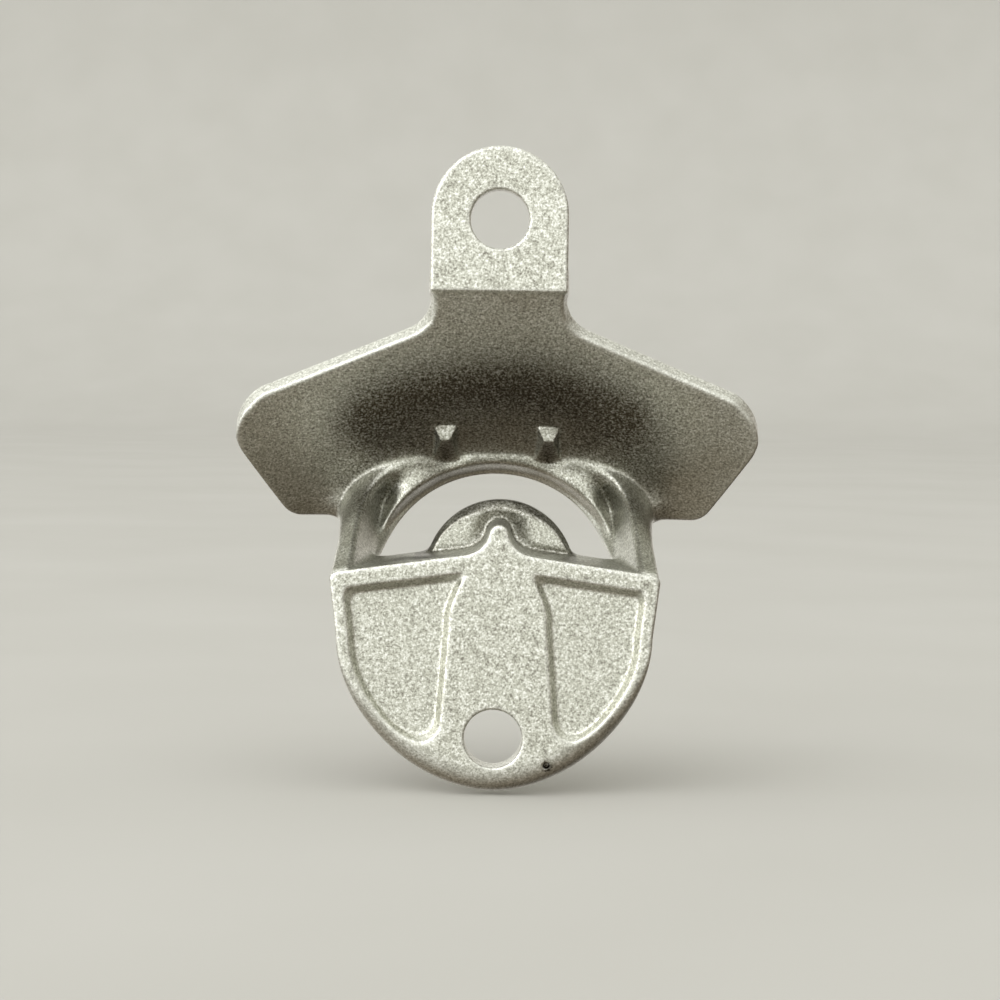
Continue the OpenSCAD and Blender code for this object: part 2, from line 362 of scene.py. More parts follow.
@dataclass
class BasePlate:
    """The shield plate: flat lands on the wall, two pockets, and the rib that points up from its top edge.

    Each span is a pair of heights or distances over which one value turns into another. Each lean turns a
    distance along an axis into one square to the surface.
    """

    size: NodeBox
    rib_top: float
    corner_drop: float = 2.9
    corner_radius: float = 1.1
    end_radius: float = 20.2
    end_power: float = 1.88
    end_thickness: float = 4.0
    seat_top: float = -60.0
    seat_fillet: float = 2.0
    far_fillet: float = 1.5
    far_edge: float = 0.9
    far_lean: float = 0.9
    side_draft: float = 0.03
    edge: float = 0.55
    low_edge: float = 4.0
    edge_span: Pair = (-54.0, -68.0)
    rim: float = 1.6
    rim_swell: float = 0.6
    rim_span: Pair = (-55.0, -68.0)
    top_land: float = 2.3
    top_lean: float = 0.75
    pocket_depth: float = 1.4
    pocket_draft: float = 0.5
    pocket_lean: float = 0.89
    pocket_low: float = -67.3
    pocket_top_fillet: float = 1.2
    pocket_low_fillet: float = 3.0
    pocket_floor_fillet: float = 0.25
    pocket_edge: float = 0.35
    wall_fillets: Pair = (0.8, 3.5)
    wall_span: Pair = (-56.0, -66.0)
    web_neck: float = 3.9
    web_waist: float = 6.2
    web_span: Pair = (1.0, 9.0)
    web_spread: float = 0.08
    web_straight: float = 10.0
    web_lean: float = 0.97
    rib_radius: float = 1.15
    rib_flare: float = 3.4
    rib_aside: float = -0.45
    pit_x: float = -6.9
    pit_z: float = -69.4
    pit_radius: float = 0.42
    pit_depth: float = 1.6
    pit_edge: float = 0.15
    shield_map: Array = to_draw()
    rib_map: Array = to_draw()
    pocket_map: Array = to_draw()
    web_map: Array = to_draw()

    @property
    def corner(self) -> float:
        """Height of the plate's top corners."""
        return self.size.high - self.corner_drop

    def top_edge(self, x: Array) -> Array:
        """Height of the plate's top edge, a low gable."""
        return self.size.high - self.corner_drop * np.abs(x) / self.size.half_width

    def half_outline(self) -> Outline:
        """Right half of the shield, from the middle of its top edge down to its end.

        Returns:
            Its points.
        """
        radius, end_radius = self.corner_radius, self.end_radius
        middle = self.size.low + end_radius
        corner = arc((self.size.half_width - radius, self.corner - radius), radius, 82.0, 8.0, 6)
        power = 2.0 / self.end_power
        end = [(end_radius * math.cos(t) ** power, middle - end_radius * math.sin(t) ** power)
               for t in np.linspace(0.0, math.pi / 2.0, 40)[:-1]]
        return [(0.0, self.size.high)] + corner + end + [(0.0, self.size.low)]

    def draw(self, plan: Plan) -> None:
        """Draws the shield, the rib and the pockets on the plan.

        Args:
            plan: The plan.
        """
        x, z = plan.x, plan.z
        self.shield_map = plan.outline(mirrored(self.half_outline()))
        foot = self.size.low + self.end_radius
        up = np.clip(z, foot, self.rib_top - self.rib_radius)
        self.rib_map = np.sqrt(x ** 2 + (z - up) ** 2) - self.rib_radius
        below = self.size.high - z
        web = mix(self.web_neck, self.web_waist, ease(*self.web_span, below))
        web = web + self.web_spread * np.maximum(below - self.web_straight, 0.0)
        self.web_map = (web - x) * self.web_lean
        rim = self.rim + self.rim_swell * ease(*self.rim_span, z)
        top = (z - self.top_edge(x) + self.top_land) * self.top_lean
        pocket = soft_max(self.shield_map + rim, top, self.pocket_top_fillet)
        self.pocket_map = soft_max(pocket, self.pocket_low - z, self.pocket_low_fillet)

    def front(self, z: Array) -> Array:
        """Depth of the plate's room side: a wedge that ends in a flat screw seat.

        Args:
            z: Places up.

        Returns:
            The depths.
        """
        rise = (self.size.far - self.end_thickness) / (self.corner - self.seat_top)
        wedge = self.end_thickness + rise * (z - self.seat_top)
        return soft_min(soft_max(wedge, self.end_thickness, self.seat_fillet), self.size.far, self.far_fillet)

    def feel(self, at: Probe) -> Array:
        """Distance to the plate's surface, negative inside.

        Args:
            at: The points.

        Returns:
            The distances.
        """
        land = soft_min(at.read(self.shield_map), at.read(self.rib_map, self.rib_aside), self.rib_flare)
        draft = self.side_draft * ease(self.corner - 2.0, self.corner + 0.5, at.z)
        edge = mix(self.edge, self.low_edge, ease(*self.edge_span, at.z))
        body = soft_max(land - draft * at.depth, -at.depth, edge)
        body = soft_max(body, (at.depth - self.front(at.z)) * self.far_lean, self.far_edge)
        fillet = mix(*self.wall_fillets, ease(*self.wall_span, at.z))
        walls = soft_max(at.read(self.pocket_map), at.read(self.web_map, self.rib_aside), fillet)
        walls = (walls + self.pocket_draft * at.depth) * self.pocket_lean
        pocket = soft_max(walls, at.depth - self.pocket_depth, self.pocket_floor_fillet)
        from_pit = np.hypot(at.x - self.pit_x, at.z - self.pit_z)
        blowhole = np.minimum(self.pit_radius - from_pit, self.pit_depth - at.depth)
        return soft_max(soft_max(body, -pocket, self.pocket_edge), blowhole, self.pit_edge)


@dataclass
class LiftingLip:
    """The rounded tongue in the mouth, with two flat facets beside the rib."""

    size: NodeBox
    aside: float = -0.6
    foot_drop: float = 1.5
    edge: float = 0.7
    far_edge: float = 1.6
    rim_fall: float = 1.1
    rim_width: float = 1.3
    rim_shares: Pair = (0.5, 1.1)
    rim_span: Pair = (8.0, 2.0)
    valley_width: float = 3.3
    valley_foot: float = 1.1
    valley_fillet: float = 0.5
    valley_depth: float = 1.7
    valley_shade: float = 0.5
    valley_shade_span: Pair = (1.05, 0.4)
    rim_shade: float = 0.6
    rim_shade_span: Pair = (1.4, 0.7)
    outline_map: Array = to_draw()
    rear_map: Array = to_draw()
    painted_shade_map: Array = to_draw()
    lean_map: Array = to_draw()

    def draw(self, plan: Plan, plate: BasePlate) -> None:
        """Draws the lip on the plan.

        Args:
            plan: The plan.
            plate: The plate that carries the lip.
        """
        half = self.size.half_width
        rise = self.size.high - float(plate.top_edge(np.array(half)))
        radius = (half * half + rise * rise) / (2.0 * rise)
        disc = np.hypot(plan.x, plan.z - self.size.high + radius) - radius
        self.outline_map = np.maximum(disc, plate.corner - self.foot_drop - plan.z)
        rim_width = self.rim_width * mix(*self.rim_shares, ease(*self.rim_span, plan.x))
        rim = 1.0 - ease(0.0, rim_width, -self.outline_map)
        from_rib, from_plate = plate.rib_map / self.valley_width, plate.shield_map / self.valley_foot
        beside = np.clip(soft_min(from_rib, from_plate, self.valley_fillet), 0.0, 1.0)
        valley = self.valley_depth * (1.0 - beside) ** 2
        self.rear_map = self.size.near + self.rim_fall * rim + valley
        self.lean_map = plan.flatness(self.rear_map)
        # Painted shade along the lip's rim and in the valleys beside the rib.
        by_rim = self.rim_shade * ease(*self.rim_shade_span, -self.outline_map / rim_width)
        by_rib = self.valley_shade * ease(*self.valley_shade_span, beside)
        self.painted_shade_map = np.maximum(by_rib, by_rim)

    def feel(self, at: Probe) -> Array:
        """Distance to the lip's surface, negative inside.

        Args:
            at: The points.

        Returns:
            The distances.
        """
        rear = (at.read(self.rear_map, self.aside) - at.depth) * at.read(self.lean_map, self.aside)
        body = soft_max(at.read(self.outline_map, self.aside), rear, self.edge)
        return soft_max(body, at.depth - self.size.far, self.far_edge)


@dataclass(frozen=True)
class PaintedShade:
    """Painted shade: where the iron is coloured darker, on an arc under the hood, from there to the ring, and
    at the teeth's roots.
    """

    arc_drop: float = 12.0
    arc_curve: float = 0.013
    fade_up: float = 5.0
    fade_down: float = 4.0
    below_arc: Pair = (0.5, 0.75)
    below_span: Pair = (5.0, 13.0)
    wing_span: Pair = (17.0, 27.0)
    ring: float = 0.6
    ring_span: Pair = (10.0, 15.0)
    crest_span: Pair = (-1.0, 0.6)
    crest_clear: float = 0.85
    crest_drop: float = 0.7
    crest_width: float = 1.2
    rim_span: Pair = (0.08, 0.04)
    root: float = 0.85
    root_width: float = 1.3
    root_start: float = 0.7
    root_end: float = 0.8


@dataclass
class Hood:
    """The cast sheet that leans out from the tab: its wings, the ring round the mouth and the two teeth."""

    wing: NodeBox
    tab: MountingTab
    plate: BasePlate
    shade_paint: PaintedShade = PaintedShade()
    sheet: float = 2.6
    bend_step: float = 0.35
    lean_bend: float = 35.0
    lean_mouth: float = 51.0
    wing_share: float = 0.6
    wing_power: float = 1.5
    neck_radius: float = 4.7
    droop: float = 22.0
    rake: float = 58.0
    tip_radius: float = 6.6
    corner_radius: float = 3.0
    inner_radius: float = 2.2
    wing_drop: float = 0.5
    edge: float = 0.5
    shell_edge: float = 0.3
    edge_band: float = 1.35
    edge_tuck: float = 1.0
    mouth_half: float = 15.9
    mouth_rise: float = 15.0
    mouth_high: float = 11.6
    mouth_turn: float = 1.42
    mouth_edge: float = 0.7
    bowl_half: float = 17.3
    bowl_high: float = 12.6
    bowl_power: float = 4.2
    bowl_wall: Pair = (0.9, 1.08)
    bowl_span: Pair = (11.0, 17.0)
    rim_low: float = 10.0
    rim_bead: float = 0.25
    rim_bead_width: float = 0.45
    ledge_wall: Pair = (0.75, 1.4)
    ledge_step: float = 0.3
    shoulder_power: float = 0.9
    ring_top: float = 2.8
    ring_power: float = 3.2
    ring_foot: float = 2.2
    ring_foot_reach: float = 1.6
    ring_sheet: float = 3.0
    crest_bead: float = 0.6
    crest_width: float = 1.2
    gusset: float = 1.6
    gusset_width: float = 2.4
    gutters: Pair = (0.2, 0.9)
    gutter_span: Pair = (3.0, 12.0)
    gutter_width: Pair = (0.5, 3.2)
    wall_passes: int = 10
    wall_passes_drop: float = 8.0
    room_top: float = 2.2
    room_power: float = 2.4
    room_span: Pair = (4.0, 13.0)
    room_wall: Pair = (0.96, 1.03)
    room_sheets: float = 1.45
    room_passes: int = 24
    least_ring: float = 1.6
    least_sheet: float = 0.3
    tooth_x: float = 6.9
    tooth_top: float = -26.7
    tooth_ledge: float = 1.75
    tooth_proud: float = 0.25
    tooth_halves: Pair = (0.62, 1.3)
    tooth_spread: float = 0.42
    tooth_slopes: Triple = (1.75, 2.6, 3.0)
    tooth_fillet: float = 0.7
    tooth_dip: float = 0.9
    tooth_root: float = 2.2
    tooth_root_bead: float = 0.6
    rear_map: Array = to_draw()
    front_map: Array = to_draw()
    rear_lean: Array = to_draw()
    front_lean: Array = to_draw()
    rear_edge: Array = to_draw()
    front_edge: Array = to_draw()
    mouth_map: Array = to_draw()

    @property
    def bend(self) -> float:
        """Height of the bend under the tab."""
        return self.tab.size.low

    @property
    def half(self) -> float:
        """Half of the width across the wing tips."""
        return self.wing.half_width + 0.1

    @property
    def body_half(self) -> float:
        """Half of the width that the wings and the plate share."""
        return self.plate.size.half_width - 0.1

    @property
    def ring_half(self) -> float:
        """Half of the width of the ring round the mouth."""
        return self.body_half + 0.2

    @property
    def mouth_top(self) -> float:
        """Height of the top of the mouth."""
        return self.plate.corner + self.mouth_high

    @property
    def rim_top(self) -> float:
        """Depth of the mouth's rim at the top of its arch."""
        return float(self.sheet_rear(np.array(0.0), np.array(self.mouth_top)))

    def sheet_rear(self, x: Array, z: Array) -> Array:
        """Depth of the sheet's wall side.

        Args:
            x: Places across.
            z: Places up.

        Returns:
            The depths.
        """
        drop = np.maximum(self.bend - z, 0.0)
        slope = math.tan(math.radians(self.lean_bend))
        end_slope = math.tan(math.radians(self.lean_mouth))
        curl = (end_slope - slope) / (2.0 * (self.bend - self.mouth_top))
        share = 1.0 - (1.0 - self.wing_share) * (np.abs(x) / self.half) ** self.wing_power
        return share * (slope + curl * drop) * drop + self.bend_step

    def half_outline(self) -> Outline:
        """Right half of the hood and cheeks, from inside the tab down into the plate.

        Returns:
            Its points.
        """
        half_tab = self.tab.size.half_width
        droop, rake = math.radians(self.droop), math.radians(self.rake)
        neck = (half_tab + self.neck_radius, self.bend)
        fillet = arc(neck, self.neck_radius, 180.0, 270.0 - self.droop, 14)
        tip_x = self.half - self.tip_radius
        flare_x, flare_z = fillet[-1]
        tip_z = flare_z - math.tan(droop) * (tip_x - flare_x) - self.tip_radius / math.cos(droop)
        tip = arc((tip_x, tip_z), self.tip_radius, 90.0 - self.droop, self.rake - 90.0, 20)
        along = np.linspace(flare_x, tip[0][0], 14)[1:-1]
        top = [(float(x), flare_z - math.tan(droop) * (float(x) - flare_x)) for x in along]
        low = self.wing.low - self.wing_drop
        lead = self.corner_radius * math.tan(rake / 2.0)
        corner_x = tip[-1][0] - (tip[-1][1] - low) / math.tan(rake) - lead
        corner = arc((corner_x, low + self.corner_radius), self.corner_radius, self.rake - 90.0, -90.0, 8)
        side = np.linspace(0.0, 1.0, 10)[1:-1]
        outer = [(mix(tip[-1][0], corner[0][0], s), mix(tip[-1][1], corner[0][1], s)) for s in side]
        inner = arc((self.body_half + self.inner_radius, low - self.inner_radius), self.inner_radius,
                    90.0, 180.0, 8)
        foot = [(self.body_half, self.plate.corner), (self.body_half - 1.0, self.plate.corner - 2.0)]
        return [(half_tab - 0.1, self.bend + 2.6)] + fillet + top + tip + outer + corner + inner + foot

    def arch(self, x: Array, top: float, power: float) -> Array:
        """Height of an arch over the mouth that springs from the wings' lower corners.

        Args:
            x: Places across.
            top: How far the arch stands over the mouth.
            power: How square its shoulders are.

        Returns:
            The heights.
        """
        rise = self.mouth_top + top - self.wing.low
        return self.wing.low + rise * np.sqrt(np.maximum(0.0, 1.0 - (np.abs(x) / self.ring_half) ** power))

    def crest_line(self, x: Array) -> Array:
        """Height of the ridge round the mouth, which dips at each tooth."""
        dip = self.tooth_dip * hump(np.abs(x) - self.tooth_x, self.tooth_root)
        return self.arch(x, self.ring_top, self.ring_power) - dip

    def room_line(self, x: Array) -> Array:
        """Height of the plainer line where the hood's room face turns into the ring."""
        return self.arch(x, self.room_top, self.room_power)

    def ring_outline(self, line: Callable[[Array], Array]) -> Outline:
        """Closed outline of the ring, from a crest line down into the plate.

        Args:
            line: Gives the crest's height from places across.

        Returns:
            The outline.
        """
        across = self.ring_half * np.sin(np.linspace(0.0, math.pi / 2.0, 40))
        half = [(float(x), float(line(x))) for x in across]
        return mirrored(half + [(self.body_half + 0.8, self.plate.corner - 3.0)])

    def mouth_outline(self) -> Outline:
        """Closed outline of the mouth, from the top of its arch down into the plate.

        Returns:
            The outline.
        """
        middle = self.mouth_top - self.mouth_rise
        turns = np.linspace(0.0, self.mouth_turn, 40)
        half = [(self.mouth_half * math.sin(t), middle + self.mouth_rise * math.cos(t)) for t in turns]
        return mirrored(half + [(half[-1][0] - 0.8, self.plate.corner - 2.0)])

    def bowl(self, x: Array, z: Array) -> Array:
        """Says where a place lies in the bowl round the mouth: 1 half way up its wall.

        Args:
            x: Places across.
            z: Places up.

        Returns:
            The values.
        """
        across = np.abs(x) / self.bowl_half
        upward = np.maximum(z - self.plate.corner, 0.0) / self.bowl_high
        return (across ** self.bowl_power + upward ** self.bowl_power) ** (1.0 / self.bowl_power)

    def fall(self, z: Array) -> Array:
        """Says how far the rim has come towards the wall, from 0 at the mouth's top to 1 at the plate."""
        return np.clip((self.mouth_top - z) / (self.mouth_top - self.plate.corner), 0.0, 1.0) ** 3

    def climb(self, x: Array, z: Array, crest: Array) -> Array:
        """Share of the way up from the plate's top edge to a crest's height."""
        foot = self.plate.top_edge(x)
        return np.clip((z - foot) / (crest - foot), 0.0, 1.0)

    def painted_shade_at(self, x: Array, depth: Array, z: Array) -> Array:
        """Says how much painted shade the iron gets, from 0 to 1. The painted shade is lifted on the ring's
        crest and at the mouth's rim, which catch the light.

        Args:
            x: Places across.
            depth: Depths from the wall.
            z: Places up.

        Returns:
            The values.
        """
        painted, aside = self.shade_paint, np.abs(x)
        above = z - (self.bend - painted.arc_drop - painted.arc_curve * x ** 2)
        low = mix(*painted.below_arc, ease(*painted.below_span, aside))
        under = low + (1.0 - low) * hump(above, painted.fade_down)
        sheet = np.where(above > 0.0, hump(above, painted.fade_up), under)
        sheet = sheet * (1.0 - ease(*painted.wing_span, aside))
        ring = painted.ring * ease(*painted.ring_span, depth)
        over = z - self.crest_line(x)
        both = mix(ring, sheet, ease(*painted.crest_span, over))
        # The painted shade is lifted along the ring's crest and at the mouth's rim.
        both = both * (1.0 - painted.crest_clear * hump(over + painted.crest_drop, painted.crest_width))
        rim = np.hypot(x / self.mouth_half, (z - self.plate.corner) / self.mouth_rise) - 1.0
        both = both * (1.0 - ease(*painted.rim_span, rim) * (over < 0.0))
        # Painted shade at the teeth's roots.
        root = ease(self.tooth_ledge, self.tooth_ledge + painted.root_start, self.tooth_top - z)
        root = root * hump(aside - self.tooth_x, painted.root_width) * (over > -painted.root_end)
        return np.maximum(both, painted.root * root)

    def tooth(self, x: Array, z: Array) -> Array:
        """Depth of the teeth: a ledge parallel to the wall, then an undercut slope down to the crest.

        Args:
            x: Places across.
            z: Places up.

        Returns:
            The depths.
        """
        ledge = float(self.sheet_rear(np.array(self.tooth_x), np.array(self.tooth_top))) - self.tooth_proud
        foot = self.tooth_top - self.tooth_ledge
        below = np.maximum(0.0, foot - z)
        half = mix(*self.tooth_halves, ease(foot - 0.2, self.tooth_top, z)) + self.tooth_spread * below
        aside = np.maximum(0.0, np.abs(np.abs(x) - self.tooth_x) - half)
        over = np.maximum(0.0, z - self.tooth_top)
        by_below, by_aside, by_over = self.tooth_slopes
        return ledge + by_below * below + by_aside * aside + by_over * over

    def draw(self, plan: Plan) -> None:
        """Draws the hood's edges, its mouth and its two faces on the plan.

        Args:
            plan: The plan.
        """
        outline = mirrored(self.half_outline())
        self.rear_edge = plan.outline(drawn_in(outline, self.edge_band, 0.0))
        self.front_edge = plan.outline(drawn_in(outline, 0.0, self.edge_tuck))
        self.mouth_map = plan.outline(self.mouth_outline())
        self.rear_map = self.wall_face(plan)
        self.front_map = self.room_face(plan)
        self.rear_lean = plan.flatness(self.rear_map)
        self.front_lean = plan.flatness(self.front_map)

    def wall_face(self, plan: Plan) -> Array:
        """Depth of the face that is turned to the wall.

        Args:
            plan: The plan.

        Returns:
            The depths.
        """
        x, z = plan.x, plan.z
        crest = plan.outline(self.ring_outline(self.crest_line))
        crest_z = self.crest_line(x)
        at_crest = self.sheet_rear(x, crest_z)
        climb = self.climb(x, z, crest_z)
        cheek = ease(*self.bowl_span, x)
        wall = mix(ease(*self.ledge_wall, self.mouth_map), ease(*self.bowl_wall, self.bowl(x, z)), cheek)
        shoulder = mix(at_crest - self.ledge_step, at_crest * climb ** self.shoulder_power, cheek)
        gutter = mix(*self.gutters, ease(*self.gutter_span, x)) * ease(*self.gutter_width, self.mouth_map)
        ring = mix(mix(self.rim_top, self.rim_low, self.fall(z)) + gutter, shoulder, wall)
        ring = mix(ring, self.ring_foot, ease(0.0, self.ring_foot_reach, self.plate.top_edge(x) - z))
        face = np.where(crest < 0.0, ring, self.sheet_rear(x, z))
        beside_tooth = 1.0 - self.tooth_root_bead * hump(x - self.tooth_x, self.tooth_root)
        ridge = self.crest_bead * hump(crest, self.crest_width) * ease(0.5, 1.0, climb) * beside_tooth
        bead = self.rim_bead * hump(np.clip(self.mouth_map, 0.0, None), self.rim_bead_width) * climb
        face = face - ridge - bead
        corner = np.hypot(x - self.body_half - 0.3, z - self.wing.low - 0.4)
        face = face - self.gusset * hump(corner, self.gusset_width) * (crest >= 0.0)
        face = np.where(z < self.bend - self.wall_passes_drop, softened(face, self.wall_passes), face)
        return soft_min(face, self.tooth(x, z), self.tooth_fillet)

    def room_face(self, plan: Plan) -> Array:
        """Depth of the face that is turned to the room, which is plainer and keeps clear of the other.

        Args:
            plan: The plan.

        Returns:
            The depths.
        """
        x, z = plan.x, plan.z
        sheet = self.sheet_rear(x, z)
        start = math.tan(math.radians(self.lean_bend))
        slope = np.where(z > self.bend, start, np.gradient(sheet, plan.step, axis=1))
        plain = sheet + self.sheet * np.sqrt(1.0 + slope ** 2) - start * np.maximum(z - self.bend, 0.0)
        crest = plan.outline(self.ring_outline(self.room_line))
        crest_z = self.room_line(x)
        at_crest = self.sheet_rear(x, crest_z) + self.room_sheets * self.sheet
        cheek = ease(*self.room_span, x)
        low, high = (mix(a, b, cheek) for a, b in zip(self.room_wall, self.bowl_wall))
        wall = ease(low, high, self.bowl(x, z))
        far = self.plate.size.far
        rim = mix(self.rim_top + self.ring_sheet, far, self.fall(z))
        ring = mix(rim, mix(far, at_crest, self.climb(x, z, crest_z)), wall)
        face = np.where(crest < 0.0, np.maximum(ring, self.rear_map + self.least_ring), plain)
        return np.maximum(softened(face, self.room_passes), self.rear_map + self.least_sheet)

    def feel(self, at: Probe) -> Array:
        """Distance to the hood's surface, negative inside.

        Args:
            at: The points.

        Returns:
            The distances.
        """
        rear, front = at.read(self.rear_map), at.read(self.front_map)
        through = np.clip((at.depth - rear) / (front - rear), 0.0, 1.0)
        edge = mix(at.read(self.rear_edge), at.read(self.front_edge), through)
        shell = soft_max((rear - at.depth) * at.read(self.rear_lean),
                         (at.depth - front) * at.read(self.front_lean), self.shell_edge)
        shell = soft_max(shell, edge, self.edge)
        return soft_max(shell, -at.read(self.mouth_map), self.mouth_edge)


def net(values: Array, origin: Triple, step: float) -> tuple[Array, Array]:
    """Draws a net of four-sided faces over the zero surface of a solid block of distances.

    Args:
        values: Distances on a block, negative inside the solid.
        origin: Place of the block's first value.
        step: Spacing of the block.

    Returns:
        Points, and faces as rows of four point numbers that turn outwards in a right-handed frame.
    """
    inside = values < 0.0
    corners = [(i, j, k) for i in (0, 1) for j in (0, 1) for k in (0, 1)]
    ends = [n - 1 for n in values.shape]
    count = np.zeros(ends, dtype=np.int8)
    for i, j, k in corners:
        count += inside[i:ends[0] + i, j:ends[1] + j, k:ends[2] + k]
    cells = np.argwhere((count > 0) & (count < 8))
    at = [values[cells[:, 0] + i, cells[:, 1] + j, cells[:, 2] + k] for i, j, k in corners]
    total = np.zeros((len(cells), 3))
    hits = np.zeros(len(cells))
    for a in range(8):
        for bit in (4, 2, 1):
            b = a | bit
            if b == a:
                continue
            crossing = (at[a] < 0.0) != (at[b] < 0.0)
            share = np.where(crossing, at[a] / np.where(crossing, at[a] - at[b], 1.0), 0.0)
            start, end = np.array(corners[a]), np.array(corners[b])
            total += np.where(crossing[:, None], start + share[:, None] * (end - start), 0.0)
            hits += crossing
    points = np.array(origin) + step * (cells + total / hits[:, None])
    number = np.full(ends, -1, dtype=np.int64)
    number[cells[:, 0], cells[:, 1], cells[:, 2]] = np.arange(len(cells))
    faces = []
    for axis in range(3):
        b, c = (axis + 1) % 3, (axis + 2) % 3
        lower = np.delete(inside, -1, axis=axis)
        upper = np.delete(inside, 0, axis=axis)
        edges = np.argwhere(lower != upper)
        quad = []
        for step_b, step_c in ((-1, -1), (0, -1), (0, 0), (-1, 0)):
            cell = edges.copy()
            cell[:, b] += step_b
            cell[:, c] += step_c
            quad.append(number[cell[:, 0], cell[:, 1], cell[:, 2]])
        quad = np.stack(quad, axis=1)
        leaving = lower[edges[:, 0], edges[:, 1], edges[:, 2]]
        faces.append(np.where(leaving[:, None], quad, quad[:, ::-1]))
    return points, np.concatenate(faces)


@dataclass
class Casting:
    """The whole casting: its features joined with cast fillets, skinned, and cut into named pieces."""

    tab: MountingTab
    hood: Hood
    lip: LiftingLip
    plate: BasePlate
    bores: list[ScrewBore]
    plan: Plan
    plan_step: float = 0.15
    plan_border: float = 2.0
    step: float = 0.3
    margin: float = 0.9
    settle_reach: float = 0.08
    settle_most: float = 0.2
    normal_reach: float = 0.12
    lip_fillet: float = 1.0
    hood_fillet: Pair = (0.2, 0.12)
    tab_fillet: Pair = (0.15, 0.35)
    widest_fillet: float = 1.2
    bore_edge: float = 0.4
    lip_half: float = 11.5
    # Edge wear and painted highlight on convex edges, kept off where painted shade lies.
    edge_probe: float = 0.4
    edge_full: float = 0.22
    glint_shade_span: Pair = (0.5, 0.2)
    shade_facing: Pair = (0.0, 0.4)
    flat_facing: Pair = (0.97, 0.85)
    flat_share: float = 0.45
    pit_shade: Pair = (0.25, 0.6)

    @classmethod
    def from_frame(cls, record: dict) -> "Casting":
        """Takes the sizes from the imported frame.

        Args:
            record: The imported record.

        Returns:
            The casting, with its features drawn on the plan.
        """
        tab = MountingTab(NodeBox.of("mounting_tab"))
        plate = BasePlate(NodeBox.of("base_plate"), NodeBox.of("lip_rib").high)
        hood = Hood(NodeBox.of("right_wing"), tab, plate)
        lip = LiftingLip(NodeBox.of("lifting_lip"))
        border = cls.plan_border
        plan = Plan(hood.half + border, plate.size.low - border, tab.size.high + border, cls.plan_step)
        tab.draw(plan)
        plate.draw(plan)
        hood.draw(plan)
        lip.draw(plan, plate)
        bores = [ScrewBore.of(record, "upper_screw_hole"), ScrewBore.of(record, "lower_screw_hole")]
        return cls(tab, hood, lip, plate, bores, plan)

    def feel(self, x: Array, depth: Array, z: Array) -> Array:
        """Distance to the casting's surface, negative inside the iron.

        Args:
            x: Places across.
            depth: Depths from the wall.
            z: Places up.

        Returns:
            The distances.
        """
        at = Probe(self.plan, x, depth, z)
        body = soft_min(self.plate.feel(at), self.lip.feel(at), self.lip_fillet)
        for feature, (at_wall, growth) in ((self.hood, self.hood_fillet), (self.tab, self.tab_fillet)):
            fillet = np.clip(at_wall + growth * depth, at_wall, self.widest_fillet)
            body = soft_min(body, feature.feel(at), fillet)
        for bore in self.bores:
            body = soft_max(body, bore.feel(at), self.bore_edge)
        return body

    def slope(self, points: Array, reach: float) -> Array:
        """Direction in which the distance grows, which is outwards on the surface.

        Args:
            points: Rows of x, depth and z.
            reach: How far to feel to each side.

        Returns:
            One row for each point.
        """
        rows = []
        for axis in range(3):
            move = np.zeros(3)
            move[axis] = reach
            rows.append(self.feel(*(points + move).T) - self.feel(*(points - move).T))
        return np.stack(rows, axis=1) / (2.0 * reach)

    def skin(self) -> bpy.types.Mesh:
        """Skins the solid with a net and settles its points on the true surface.

        Returns:
            The skin.
        """
        half, deep = self.hood.half + self.margin, self.hood.wing.far + 1.2
        low, high = self.plate.size.low - self.margin, self.tab.size.high + self.margin
        x = np.arange(-half, half, self.step)[:, None, None]
        depth = np.arange(-self.margin, deep, self.step)[None, :, None]
        z = np.arange(low, high, self.step)[None, None, :]
        values = self.feel(x, depth, z).astype(np.float32)
        points, faces = net(values, (-half, -self.margin, low), self.step)
        for _ in range(2):
            slope = self.slope(points, self.settle_reach)
            miss = self.feel(*points.T) / np.maximum(np.sum(slope ** 2, axis=1), 0.1)
            points -= np.clip(miss, -self.settle_most, self.settle_most)[:, None] * slope
        mesh = bpy.data.meshes.new("casting_skin")
        mesh.from_pydata((points * TO_METRES).tolist(), [], faces[:, ::-1].tolist())
        return mesh

    def cut(self, skin: bpy.types.Mesh) -> None:
        """Runs edges across the skin where one piece ends and the next begins.

        Args:
            skin: The skin, which is changed.
        """
        body = bmesh.new()
        body.from_mesh(skin)
        gable = math.atan(self.plate.corner_drop / self.plate.size.half_width)
        peak = Vector((0.0, 0.0, self.plate.size.high * MM))
        wing = self.hood.body_half * MM
        cuts = [
            (Vector((0.0, 0.0, self.hood.bend * MM)), Vector((0.0, 0.0, 1.0)), None),
            (Vector((wing, 0.0, 0.0)), Vector((1.0, 0.0, 0.0)), None),
            (Vector((-wing, 0.0, 0.0)), Vector((-1.0, 0.0, 0.0)), None),
            (peak, Vector((1.0, 0.0, 0.0)), None),
            (peak, Vector((math.sin(gable), 0.0, math.cos(gable))), 1.0),
            (peak, Vector((-math.sin(gable), 0.0, math.cos(gable))), -1.0),
        ]
        for point, normal, side in cuts:
            crossed = []
            for face in body.faces:
                if side is not None and face.calc_center_median().x * side < 0.0:
                    continue
                heights = [(v.co - point).dot(normal) for v in face.verts]
                if min(heights) < 0.0 < max(heights):
                    crossed.append(face)
            edges = {e for f in crossed for e in f.edges}
            corners = {v for f in crossed for v in f.verts}
            parts = sorted(corners, key=lambda v: v.index) + sorted(edges, key=lambda e: e.index) + crossed
            bmesh.ops.bisect_plane(body, geom=parts, plane_co=point, plane_no=normal, dist=1e-7)
            body.verts.index_update()
            body.edges.index_update()
        body.to_mesh(skin)
        body.free()

